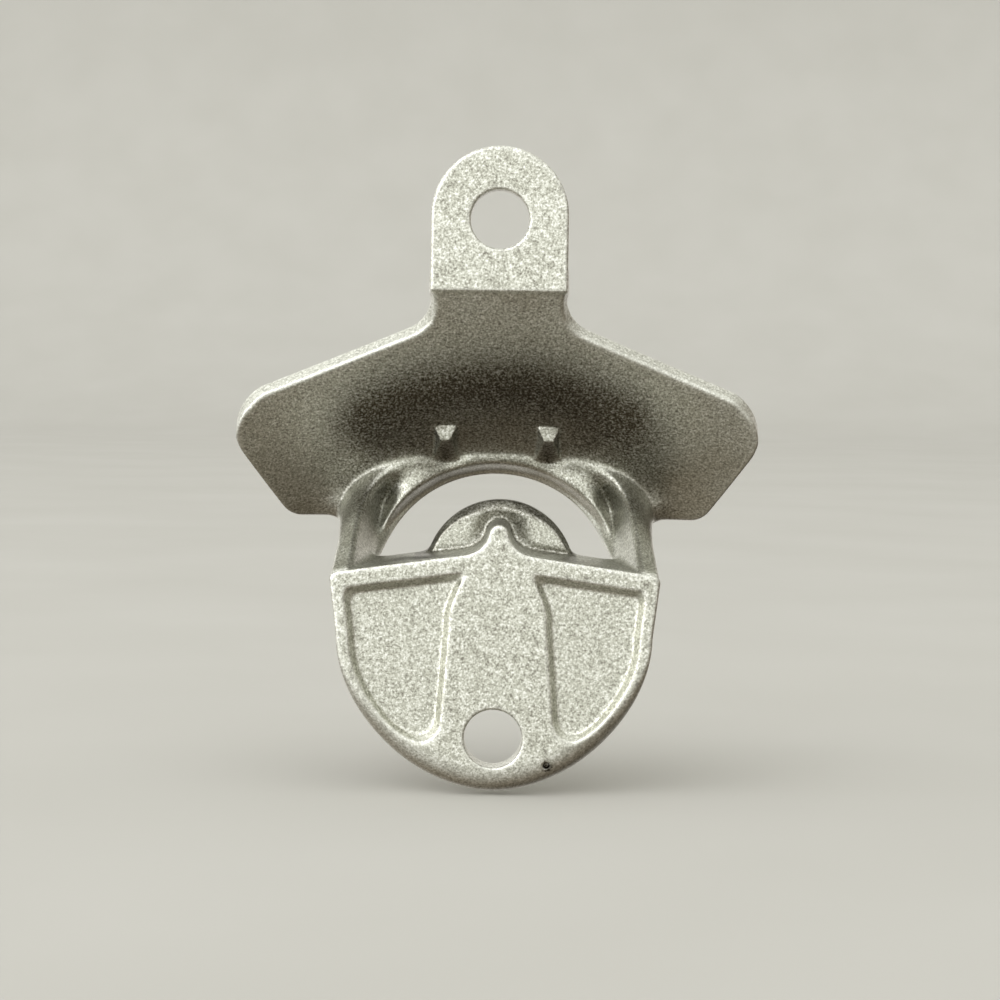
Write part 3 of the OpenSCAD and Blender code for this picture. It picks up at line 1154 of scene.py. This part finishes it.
    def regions(self, centres: Array) -> Array:
        """Says which piece each face belongs to.

        Args:
            centres: Middles of the faces, as rows of x, depth and z.

        Returns:
            For each face, the place of its piece in Region.
        """
        x, depth, z = centres.T
        order = list(Region)
        name = np.full(len(centres), order.index(Region.HOOD))
        name[(x > self.hood.body_half) & (z > self.plate.corner)] = order.index(Region.RIGHT_WING)
        name[(x < -self.hood.body_half) & (z > self.plate.corner)] = order.index(Region.LEFT_WING)
        name[z > self.hood.bend] = order.index(Region.TAB)
        in_mouth = (np.abs(x) < self.lip_half) & (z < self.hood.mouth_top - 2.0)
        name[in_mouth & (depth < self.lip.size.far + 1.0)] = order.index(Region.LIP)
        name[z < self.plate.top_edge(x)] = order.index(Region.PLATE)
        return name

    def piece(self, region: Region, corners: Array, faces: list[tuple[int, ...]]) -> bpy.types.Object:
        """Makes one closed piece from its share of the skin.

        Args:
            region: Which piece.
            corners: All the skin's points, in metres.
            faces: This piece's faces.

        Returns:
            The piece's object, at the origin.
        """
        used = sorted({v for f in faces for v in f})
        new = {old: i for i, old in enumerate(used)}
        mesh = bpy.data.meshes.new(region.title)
        mesh.from_pydata(corners[used].tolist(), [], [tuple(new[v] for v in f) for f in faces])
        body = bmesh.new()
        body.from_mesh(mesh)
        skin_faces = len(body.faces)
        rim = [e for e in body.edges if e.is_boundary]
        caps = bmesh.ops.holes_fill(body, edges=rim, sides=0)["faces"]
        for cap in caps:
            starts = [loop.vert for loop in cap.edges[0].link_loops]
            if starts[0] == starts[1]:
                cap.normal_flip()
        bmesh.ops.triangulate(body, faces=caps)
        loose = sum(1 for e in body.edges if not e.is_manifold)
        body.to_mesh(mesh)
        body.free()
        self.dress(mesh, skin_faces)
        piece = bpy.data.objects.new(region.title, mesh)
        bpy.context.scene.collection.objects.link(piece)
        LOG.info("%s: %d faces, %d open edges", region.title, len(mesh.polygons), loose)
        return piece

    def wear_and_shade(self, points: Array, outward: Array) -> tuple[Array, ...]:
        """Notes for the finish: edge wear with a painted highlight, painted shade, and where the grain is
        even.

        Args:
            points: Rows of x, depth and z on the skin.
            outward: The skin's direction at each point.

        Returns:
            One row of values for each name in NOTES.
        """
        x, depth, z = points.T
        # Painted shade follows the hood's pattern. It is weaker on faces square to the wall side and gone on
        # faces turned away from it.
        facing = -outward[:, 1]
        leaning = mix(self.flat_share, 1.0, ease(*self.flat_facing, facing))
        leaning = ease(*self.shade_facing, facing) * leaning
        sheltered = self.hood.painted_shade_at(x, depth, z) * leaning
        # Edge wear and painted highlight: convex edges, where little painted shade lies, are turned
        # near-white.
        edge_bulge = self.feel(*(points - self.edge_probe * outward).T) + self.edge_probe
        worn = np.clip(edge_bulge / self.edge_full, 0.0, 1.0) * ease(*self.glint_shade_span, sheltered)
        on_lip = (np.abs(x) < self.lip.size.half_width + 1.0) & (z < self.lip.size.high + 0.5)
        on_lip &= (depth > 1.0) & (depth < self.lip.size.far) & (z > self.plate.top_edge(x) - 0.3)
        # Painted shade on the lip comes from its own map: in the valleys beside the rib and along its rim.
        sheltered[on_lip] = self.plan.read(self.lip.painted_shade_map, x - self.lip.aside, z)[on_lip]
        even = on_lip & (depth > 2.0)
        # Painted shade in the blowhole, darker with depth.
        by_pit = np.hypot(x - self.plate.pit_x, z - self.plate.pit_z) < 2.0 * self.plate.pit_radius
        by_pit &= depth < self.plate.pit_depth + 0.2
        sheltered[by_pit] = ease(*self.pit_shade, depth[by_pit])
        worn[even | by_pit] = 0.0
        return worn, sheltered, even

    def dress(self, mesh: bpy.types.Mesh, skin_faces: int) -> None:
        """Gives a piece the true surface's normals, so that no seam shows, and its notes for the finish.

        Args:
            mesh: The piece's mesh.
            skin_faces: How many of its first faces are skin. The rest close the cuts.
        """
        flat = np.empty(len(mesh.vertices) * 3)
        mesh.vertices.foreach_get("co", flat)
        points = flat.reshape(-1, 3) / TO_METRES
        slope = self.slope(points, self.normal_reach)
        outward = slope / np.maximum(np.linalg.norm(slope, axis=1), 1e-6)[:, None]
        for title, values in zip(NOTES, self.wear_and_shade(points, outward)):
            note = mesh.attributes.new(title, "FLOAT", "POINT")
            note.data.foreach_set("value", values.astype(np.float32))
        mesh.polygons.foreach_set("use_smooth", np.ones(len(mesh.polygons), dtype=bool))
        normals = outward * np.array([1.0, -1.0, 1.0])
        corner_of = np.empty(len(mesh.loops), dtype=np.int32)
        mesh.loops.foreach_get("vertex_index", corner_of)
        per_corner = normals[corner_of]
        for cap in list(mesh.polygons)[skin_faces:]:
            per_corner[cap.loop_start:cap.loop_start + cap.loop_total] = cap.normal
        mesh.normals_split_custom_set(per_corner.tolist())

    def build(self) -> dict[Region, bpy.types.Object]:
        """Builds every piece of the casting.

        Returns:
            The pieces by region.
        """
        skin = self.skin()
        self.cut(skin)
        flat = np.empty(len(skin.vertices) * 3)
        skin.vertices.foreach_get("co", flat)
        corners = flat.reshape(-1, 3)
        faces = [tuple(p.vertices) for p in skin.polygons]
        centres = np.array([corners[list(f)].mean(axis=0) for f in faces]) / TO_METRES
        names = self.regions(centres)
        pieces = {}
        for place, region in enumerate(Region):
            share = [faces[i] for i in np.flatnonzero(names == place)]
            pieces[region] = self.piece(region, corners, share)
        bpy.data.meshes.remove(skin)
        return pieces


def linear(code: str) -> tuple[float, float, float, float]:
    """Turns an sRGB hex colour into linear values with full alpha.

    Args:
        code: The colour, as #rrggbb.

    Returns:
        The values.
    """
    parts = [int(code[i:i + 2], 16) / 255.0 for i in (1, 3, 5)]
    light = [p / 12.92 if p <= 0.04045 else ((p + 0.055) / 1.055) ** 2.4 for p in parts]
    return (light[0], light[1], light[2], 1.0)


def cleared(data: bpy.types.Material | bpy.types.World) -> Tree:
    """Gives a material or a world an empty node tree.

    Args:
        data: The material or the world.

    Returns:
        The tree.
    """
    data.use_nodes = True
    data.node_tree.nodes.clear()
    return data.node_tree


def add_node(tree: Tree, kind: str, inputs: dict | tuple = (), **settings: object) -> bpy.types.Node:
    """Adds a node to a tree.

    Args:
        tree: The tree.
        kind: The node's type.
        inputs: Values and links in the order of the node's inputs, or by input name or number. A link is an
            output socket, or a node that stands for its first output.
        **settings: The node's own settings.

    Returns:
        The node.
    """
    node = tree.nodes.new(kind)
    for name, value in settings.items():
        setattr(node, name, value)
    named = inputs if isinstance(inputs, dict) else dict(enumerate(inputs))
    for name, value in named.items():
        source = value.outputs[0] if isinstance(value, bpy.types.Node) else value
        if isinstance(source, bpy.types.NodeSocket):
            tree.links.new(source, node.inputs[name])
        else:
            node.inputs[name].default_value = source
    return node


@dataclass(frozen=True)
class PlatedIron:
    """Sand-cast iron under a thin bright zinc plate: a pale, faintly yellow metal.

    The sand leaves a pebbled skin that glints grain by grain, ground flat and brighter on the lands, finer in
    the pockets and calmer on the lip. A brown painted shade darkens the hollows, the hood and the ring round
    the mouth, more in the grain's pits. Convex edges are turned near-white for edge wear and a painted
    highlight. The noise is moved off the wall plane, where its own lattice would lie in the lands.
    """

    title: str = "zinc_plated_cast_iron"
    plate: str = "#c6c6ba"
    pit: str = "#86837a"
    shade_tint: str = "#665d53"
    bright: str = "#fbfbf6"
    grain_mm: float = 0.32
    grain_rough: float = 0.55
    fine_mm: float = 0.17
    fine_share: float = 0.6
    pebble_mm: float = 0.9
    pebble_depths_mm: Pair = (-1.2, -0.3)
    pebble_shares: Pair = (0.08, 0.4)
    grain_height_mm: float = 0.05
    ground_depths_mm: Pair = (-2.5, -0.3)
    ground_shares: Pair = (1.0, 0.7)
    lip_shares: Pair = (1.0, 0.45)
    noise_shift_mm: float = 0.25
    skin_span: Pair = (0.52, 1.08)
    shade_grain_shares: Pair = (1.3, 0.6)
    rub_glint: float = 0.45
    wave_mm: float = 6.0
    wave_span: Pair = (0.3, 0.7)
    roughness: Pair = (0.46, 0.34)

    def build(self) -> bpy.types.Material:
        """Builds the material.

        Returns:
            The material.
        """
        material = bpy.data.materials.new(self.title)
        tree = cleared(material)
        spot = add_node(tree, "ShaderNodeTexCoord").outputs["Object"]
        place = add_node(tree, "ShaderNodeVectorMath", (spot, (0.0, self.noise_shift_mm * MM, 0.0)))
        depth = add_node(tree, "ShaderNodeSeparateXYZ", (spot,)).outputs["Y"]
        worn, sheltered, even = [add_node(tree, "ShaderNodeAttribute", attribute_name=name).outputs["Fac"]
                                 for name in NOTES]
        noises = []
        for size_mm, detail in ((self.grain_mm, 2.0), (self.fine_mm, 1.0), (self.pebble_mm, 1.0),
                                (self.wave_mm, 2.0)):
            inputs = {"Vector": place, "Scale": 1.0 / (size_mm * MM), "Detail": detail}
            noises.append(add_node(tree, "ShaderNodeTexNoise", inputs))
        grain, fine, pebble, wave = noises
        grain.inputs["Roughness"].default_value = self.grain_rough
        sand = add_node(tree, "ShaderNodeMath", (fine, self.fine_share, grain), operation="MULTIPLY_ADD")
        coarse_depths, ground_depths = scaled(self.pebble_depths_mm), scaled(self.ground_depths_mm)
        coarse = add_node(tree, "ShaderNodeMapRange", (depth, *coarse_depths, *self.pebble_shares))
        level = add_node(tree, "ShaderNodeMath", (pebble, 0.5), operation="SUBTRACT")
        height = add_node(tree, "ShaderNodeMath", (level, coarse, sand), operation="MULTIPLY_ADD")
        top = add_node(tree, "ShaderNodeMapRange", (height, *self.skin_span))
        skin = add_node(tree, "ShaderNodeValToRGB", (top,))
        skin.color_ramp.elements.new(0.5)
        for element, code in zip(skin.color_ramp.elements, (self.pit, self.plate, self.bright)):
            element.color = linear(code)
        # Painted shade: the sheltered note, strongest in the grain's pits, browns the colour.
        shade_by_grain = add_node(tree, "ShaderNodeMapRange", (top, 0.0, 1.0, *self.shade_grain_shares))
        painted = add_node(tree, "ShaderNodeMath", (sheltered, shade_by_grain), operation="MULTIPLY", use_clamp=True)
        layers = {0: painted, 6: skin, 7: linear(self.shade_tint)}
        shaded_colour = add_node(tree, "ShaderNodeMix", layers, data_type="RGBA", blend_type="MULTIPLY")
        # Edge wear and painted highlight: convex edges mix towards near-white.
        rub_glint = add_node(tree, "ShaderNodeMath", (worn, self.rub_glint), operation="MULTIPLY", use_clamp=True)
        layers = {0: rub_glint, 6: shaded_colour.outputs[2], 7: linear(self.bright)}
        colour = add_node(tree, "ShaderNodeMix", layers, data_type="RGBA").outputs[2]
        rough = add_node(tree, "ShaderNodeMapRange", (wave, *self.wave_span, *self.roughness))
        ground = add_node(tree, "ShaderNodeMapRange", (depth, *ground_depths, *self.ground_shares))
        calm = add_node(tree, "ShaderNodeMapRange", (even, 0.0, 1.0, *self.lip_shares))
        strength = add_node(tree, "ShaderNodeMath", (ground, calm), operation="MULTIPLY")
        relief = {"Distance": self.grain_height_mm * MM, "Height": height, "Strength": strength}
        bump = add_node(tree, "ShaderNodeBump", relief)
        metal = {"Metallic": 1.0, "Base Color": colour, "Roughness": rough, "Normal": bump}
        shader = add_node(tree, "ShaderNodeBsdfPrincipled", metal)
        add_node(tree, "ShaderNodeOutputMaterial", {"Surface": shader})
        return material


@dataclass(frozen=True)
class MattPaper:
    """Seamless studio paper: pale, matt and faintly mottled."""

    title: str = "seamless_paper"
    light: str = "#b9b7b2"
    dark: str = "#b1afa9"
    mottle_mm: float = 60.0
    roughness: float = 0.9

    def build(self) -> bpy.types.Material:
        """Builds the material.

        Returns:
            The material.
        """
        material = bpy.data.materials.new(self.title)
        tree = cleared(material)
        place = add_node(tree, "ShaderNodeTexCoord").outputs["Object"]
        mottle = add_node(tree, "ShaderNodeTexNoise", {"Vector": place, "Scale": 1.0 / (self.mottle_mm * MM)})
        layers = {0: mottle, 6: linear(self.dark), 7: linear(self.light)}
        colour = add_node(tree, "ShaderNodeMix", layers, data_type="RGBA").outputs[2]
        paper = {"Roughness": self.roughness, "Base Color": colour}
        shader = add_node(tree, "ShaderNodeBsdfPrincipled", paper)
        add_node(tree, "ShaderNodeOutputMaterial", {"Surface": shader})
        return material


@dataclass(frozen=True)
class StudioSky:
    """A broad soft sky, brightest above and towards +X, with a window at one side and a room to fill it."""

    title: str = "studio_sky"
    bright_way: Triple = (0.42, 0.5, 0.76)
    stops: tuple[tuple[float, Triple], ...] = (
        (0.04, (0.095, 0.079, 0.058)), (0.12, (0.2, 0.168, 0.124)), (0.26, (0.28, 0.243, 0.188)),
        (0.4, (0.5, 0.48, 0.43)), (0.6, (0.93, 0.93, 0.87)), (0.75, (1.28, 1.29, 1.22)),
        (1.0, (1.36, 1.38, 1.35)))
    window_way: Triple = (0.82, 0.48, 0.3)
    window_span: Pair = (0.82, 0.98)
    window_glow: float = 1.6
    room_span: Pair = (-0.6, -0.95)
    room_glow: float = 0.7

    def build(self) -> bpy.types.World:
        """Builds the world.

        Returns:
            The world.
        """
        world = bpy.data.worlds.new(self.title)
        tree = cleared(world)
        way = add_node(tree, "ShaderNodeTexCoord").outputs["Generated"]
        above, window = [add_node(tree, "ShaderNodeVectorMath", (way, tuple(Vector(aim).normalized())),
                                  operation="DOT_PRODUCT").outputs["Value"]
                         for aim in (self.bright_way, self.window_way)]
        share = add_node(tree, "ShaderNodeMapRange", (above, -1.0, 1.0))
        ramp = add_node(tree, "ShaderNodeValToRGB", (share,))
        elements = ramp.color_ramp.elements
        while len(elements) < len(self.stops):
            elements.new(0.5)
        for element, (spot, colour) in zip(elements, self.stops):
            element.position = spot
            element.color = (*colour, 1.0)
        along = add_node(tree, "ShaderNodeSeparateXYZ", (way,)).outputs["Y"]
        lit = ramp.outputs["Color"]
        for toward, span, glow in ((along, self.room_span, self.room_glow),
                                   (window, self.window_span, self.window_glow)):
            light = add_node(tree, "ShaderNodeMapRange", (toward, *span, 0.0, glow))
            layers = {0: 1.0, 6: lit, 7: light}
            lit = add_node(tree, "ShaderNodeMix", layers, data_type="RGBA", blend_type="ADD").outputs[2]
        shade = add_node(tree, "ShaderNodeBackground", {"Color": lit})
        add_node(tree, "ShaderNodeOutputWorld", {"Surface": shade})
        return world


@dataclass
class Studio:
    """The floor, the light and the camera."""

    floor_z: float
    sweep_half: float = 3.0
    sweep_front: float = 2.5
    sweep_back: float = -1.6
    sweep_bend: float = 0.6
    sweep_high: float = 2.5
    lamp_place: Triple = (0.28, 0.42, 0.55)
    lamp_aim: Triple = (0.0, 0.0, -0.03)
    lamp_size: Pair = (0.5, 0.35)
    lamp_energy: float = 0.9
    lens_px: float = 2283.0
    sensor_mm: float = 36.0
    eye: Triple = (-0.0005, 0.289, -0.0195)
    tilt: float = 3.16
    roll: float = 0.83

    def floor(self) -> None:
        """Makes the paper sweep: a floor under the object that curves up well behind it."""
        bend, back = self.sweep_bend, self.sweep_back
        profile = [(self.sweep_front, self.floor_z)]
        profile += [(back - bend * math.sin(a), self.floor_z + bend * (1.0 - math.cos(a)))
                    for a in np.linspace(0.0, math.pi / 2.0, 24)]
        profile.append((back - bend, self.floor_z + self.sweep_high))
        corners = [(x, y, z) for x in (-self.sweep_half, self.sweep_half) for y, z in profile]
        n = len(profile)
        mesh = bpy.data.meshes.new("paper_sweep")
        mesh.from_pydata(corners, [], [(i, i + 1, n + i + 1, n + i) for i in range(n - 1)])
        mesh.polygons.foreach_set("use_smooth", np.ones(n - 1, dtype=bool))
        mesh.materials.append(MattPaper().build())
        sweep = bpy.data.objects.new("paper_sweep", mesh)
        bpy.context.scene.collection.objects.link(sweep)
        sweep.visible_glossy = False

    def light(self) -> None:
        """Lights the scene with the sky and one soft box."""
        bpy.context.scene.world = StudioSky().build()
        lamp = bpy.data.lights.new("soft_box", "AREA")
        lamp.shape = "RECTANGLE"
        lamp.size, lamp.size_y = self.lamp_size
        lamp.energy = self.lamp_energy
        box = bpy.data.objects.new("soft_box", lamp)
        place = Vector(self.lamp_place)
        turn = (Vector(self.lamp_aim) - place).to_track_quat("-Z", "Y").to_matrix().to_4x4()
        box.matrix_world = Matrix.Translation(place) @ turn
        bpy.context.scene.collection.objects.link(box)

    def camera(self) -> None:
        """Sets the camera as the photographer stood: over the wall side, looking along -Y."""
        lens = bpy.data.cameras.new("photo_camera")
        lens.sensor_width = self.sensor_mm
        lens.lens = self.lens_px / IMAGE_SIDE * lens.sensor_width
        lens.clip_start = 0.01
        tilt, roll = math.radians(self.tilt), math.radians(self.roll)
        ahead = Vector((0.0, -math.cos(tilt), -math.sin(tilt)))
        level = Vector((-1.0, 0.0, 0.0))
        upright = level.cross(ahead)
        right = level * math.cos(roll) + upright * math.sin(roll)
        up = upright * math.cos(roll) - level * math.sin(roll)
        turn = Matrix((right, up, -ahead)).transposed().to_4x4()
        camera = bpy.data.objects.new("photo_camera", lens)
        camera.matrix_world = Matrix.Translation(Vector(self.eye)) @ turn
        bpy.context.scene.collection.objects.link(camera)
        bpy.context.scene.camera = camera


def main() -> None:
    """Builds the opener on the frame, then the studio round it."""
    logging.basicConfig(level=logging.INFO, format="%(name)s: %(message)s")
    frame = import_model()
    casting = Casting.from_frame(frame["record"])
    finish = PlatedIron().build()
    for region, piece in casting.build().items():
        piece.data.materials.append(finish)
        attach(piece, "root")
        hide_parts(*region.nodes)
    studio = Studio(floor_z=(casting.plate.size.low - 0.3) * MM)
    studio.floor()
    studio.light()
    studio.camera()
    bpy.context.scene.view_settings.view_transform = "Standard"


if __name__ == "__main__":
    main()
